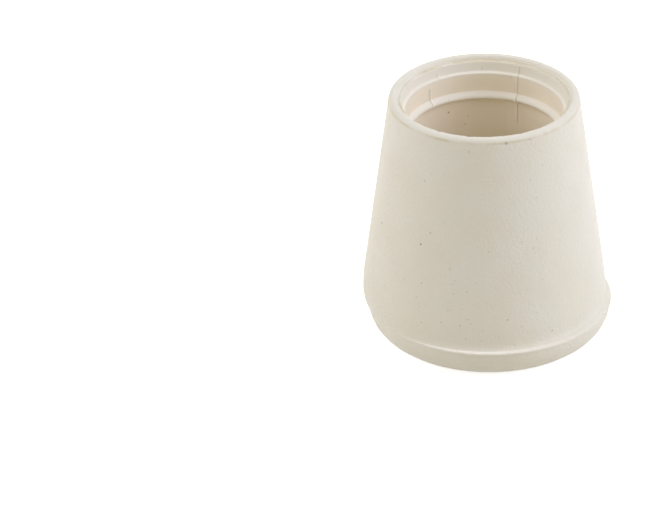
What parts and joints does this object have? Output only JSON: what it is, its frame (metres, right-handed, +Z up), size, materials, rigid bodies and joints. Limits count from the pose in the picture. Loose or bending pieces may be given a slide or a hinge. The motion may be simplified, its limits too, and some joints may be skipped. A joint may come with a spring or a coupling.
{
  "type": "rubber foot",
  "caption": "Tapered off-white rubber foot that pushes onto the end of a tubular leg, with a stepped mouth, a grip rib inside and concentric rings on its rounded sole.",
  "frame": {"origin": "on the floor, under the axis of the socket", "axes": "+Z up along the axis of the socket, out of its mouth; the sole is set off that axis towards +X and -Y"},
  "size_m": [0.0303, 0.0304, 0.0314],
  "materials": {
    "rubber": "off-white moulded rubber, satin, with a faint grain and small dark specks"
  },
  "bodies": {
    "root": {"rubber_foot": "rubber"}
  },
  "joints": []
}
